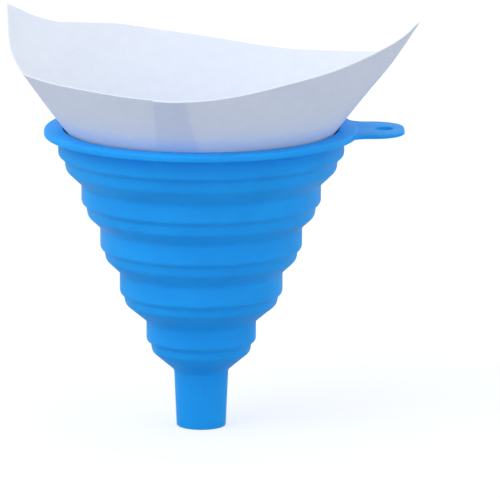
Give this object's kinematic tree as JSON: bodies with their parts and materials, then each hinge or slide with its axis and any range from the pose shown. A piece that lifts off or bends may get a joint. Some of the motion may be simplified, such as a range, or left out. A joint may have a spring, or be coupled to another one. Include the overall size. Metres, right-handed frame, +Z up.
{
  "type": "paint strainer",
  "caption": "Paper cone paint strainer with a nylon mesh tip, resting in the mouth of a collapsible stepped silicone funnel with a hanging tab.",
  "frame": {"origin": "centre of the spout's lower end, on the axis that the funnel and the paper cone share", "axes": "+Z up the axis from the spout to the mouth, +X towards the hanging tab"},
  "size_m": [0.1379, 0.1229, 0.1392],
  "materials": {
    "silicone": "moulded sky blue silicone with a soft satin surface",
    "paper": "smooth uncoated white paper",
    "nylon_mesh": "fine woven off-white nylon mesh"
  },
  "bodies": {
    "root": {"funnel": "silicone", "paper_cone": "paper", "mesh_tip": "nylon_mesh"}
  },
  "joints": []
}
